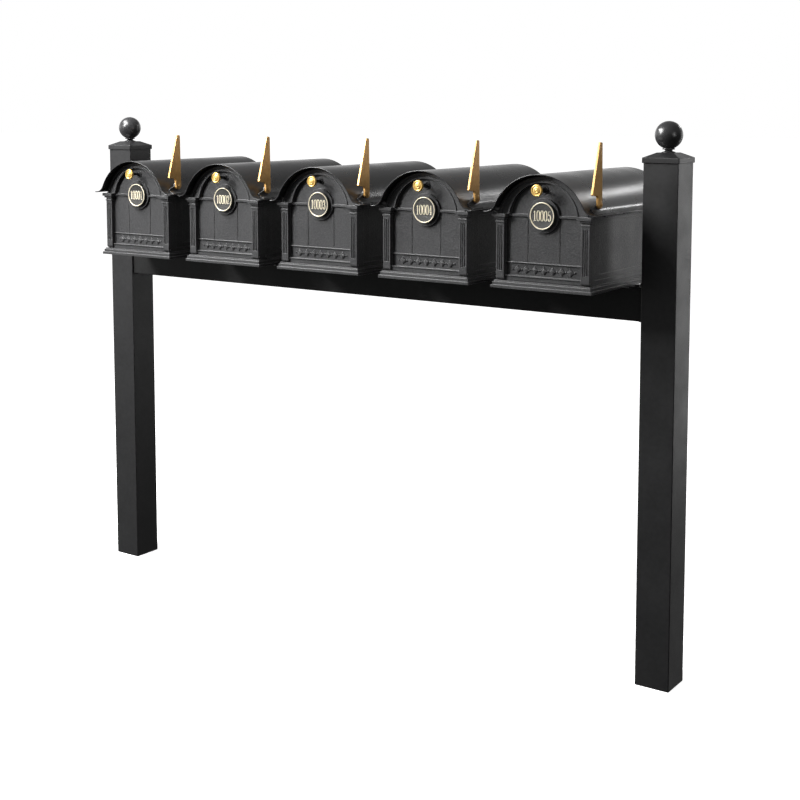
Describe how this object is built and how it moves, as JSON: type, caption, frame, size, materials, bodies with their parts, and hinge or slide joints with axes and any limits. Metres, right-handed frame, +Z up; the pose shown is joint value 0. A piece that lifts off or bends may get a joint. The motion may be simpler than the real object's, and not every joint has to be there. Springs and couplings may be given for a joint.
{
  "type": "cluster mailbox unit",
  "caption": "Row of arch-roofed cast mailboxes with drop-down doors and signal flags on a crossbeam between two square posts with ball finials.",
  "frame": {"origin": "on the ground below the middle of the bounding box", "axes": "+Z up, +X along the crossbeam to the right as seen from the doors, +Y from the doors to the back panels"},
  "size_m": [2.1484, 0.558, 1.571],
  "materials": {
    "cast_black": "satin black powder coat over cast aluminium, finely stippled",
    "roof_black": "smooth satin black powder coat over aluminium sheet",
    "post_black": "matt black powder coat over extruded aluminium",
    "finial_black": "semi-gloss black powder coat over cast aluminium",
    "gold": "satin gold",
    "plaque": "textured black with a pale gold rim and digits",
    "black_hardware": "black oxide steel",
    "zinc_steel": "zinc plated"
  },
  "bodies": {
    "root": {"post_left": "post_black", "post_right": "post_black", "crossbeam": "post_black", "post_cap_left": "cast_black", "post_cap_right": "cast_black", "finial_left": "finial_black", "finial_right": "finial_black", "beam_brackets_left": "post_black", "beam_brackets_right": "post_black", "beam_bolts": "black_hardware", "mailbox_bolts": "zinc_steel", "hinge_pins": "zinc_steel", "flag_screws": "gold", "panel_screws": "black_hardware", "door_catches": "zinc_steel", "mailbox_body_1": "cast_black", "roof_1": "roof_black", "back_panel_1": "cast_black", "flag_bracket_1": "cast_black", "mount_plate_1": "zinc_steel", "mailbox_body_2": "cast_black", "roof_2": "roof_black", "back_panel_2": "cast_black", "flag_bracket_2": "cast_black", "mount_plate_2": "zinc_steel", "mailbox_body_3": "cast_black", "roof_3": "roof_black", "back_panel_3": "cast_black", "flag_bracket_3": "cast_black", "mount_plate_3": "zinc_steel", "mailbox_body_4": "cast_black", "roof_4": "roof_black", "back_panel_4": "cast_black", "flag_bracket_4": "cast_black", "mount_plate_4": "zinc_steel", "mailbox_body_5": "cast_black", "roof_5": "roof_black", "back_panel_5": "cast_black", "flag_bracket_5": "cast_black", "mount_plate_5": "zinc_steel"},
    "door_1": {"door_1": "cast_black", "door_knob_1": "gold", "number_plaque_1": "plaque"},
    "flag_1": {"flag_1": "gold"},
    "door_2": {"door_2": "cast_black", "door_knob_2": "gold", "number_plaque_2": "plaque"},
    "flag_2": {"flag_2": "gold"},
    "door_3": {"door_3": "cast_black", "door_knob_3": "gold", "number_plaque_3": "plaque"},
    "flag_3": {"flag_3": "gold"},
    "door_4": {"door_4": "cast_black", "door_knob_4": "gold", "number_plaque_4": "plaque"},
    "flag_4": {"flag_4": "gold"},
    "door_5": {"door_5": "cast_black", "door_knob_5": "gold", "number_plaque_5": "plaque"},
    "flag_5": {"flag_5": "gold"}
  },
  "joints": [
    {"name": "door_hinge_1", "type": "hinge", "parent": "root", "child": "door_1", "pos_m": [-0.76, -0.236, 1.143], "axis": [1, 0, 0], "range_deg": [0, 90]},
    {"name": "flag_pivot_1", "type": "hinge", "parent": "root", "child": "flag_1", "pos_m": [-0.6114, -0.2015, 1.351], "axis": [-1, 0, 0], "range_deg": [0, 90]},
    {"name": "door_hinge_2", "type": "hinge", "parent": "root", "child": "door_2", "pos_m": [-0.38, -0.236, 1.143], "axis": [1, 0, 0], "range_deg": [0, 90]},
    {"name": "flag_pivot_2", "type": "hinge", "parent": "root", "child": "flag_2", "pos_m": [-0.2314, -0.2015, 1.351], "axis": [-1, 0, 0], "range_deg": [0, 90]},
    {"name": "door_hinge_3", "type": "hinge", "parent": "root", "child": "door_3", "pos_m": [0, -0.236, 1.143], "axis": [1, 0, 0], "range_deg": [0, 90]},
    {"name": "flag_pivot_3", "type": "hinge", "parent": "root", "child": "flag_3", "pos_m": [0.1486, -0.2015, 1.351], "axis": [-1, 0, 0], "range_deg": [0, 90]},
    {"name": "door_hinge_4", "type": "hinge", "parent": "root", "child": "door_4", "pos_m": [0.38, -0.236, 1.143], "axis": [1, 0, 0], "range_deg": [0, 90]},
    {"name": "flag_pivot_4", "type": "hinge", "parent": "root", "child": "flag_4", "pos_m": [0.5286, -0.2015, 1.351], "axis": [-1, 0, 0], "range_deg": [0, 90]},
    {"name": "door_hinge_5", "type": "hinge", "parent": "root", "child": "door_5", "pos_m": [0.76, -0.236, 1.143], "axis": [1, 0, 0], "range_deg": [0, 90]},
    {"name": "flag_pivot_5", "type": "hinge", "parent": "root", "child": "flag_5", "pos_m": [0.9086, -0.2015, 1.351], "axis": [-1, 0, 0], "range_deg": [0, 90]}
  ]
}
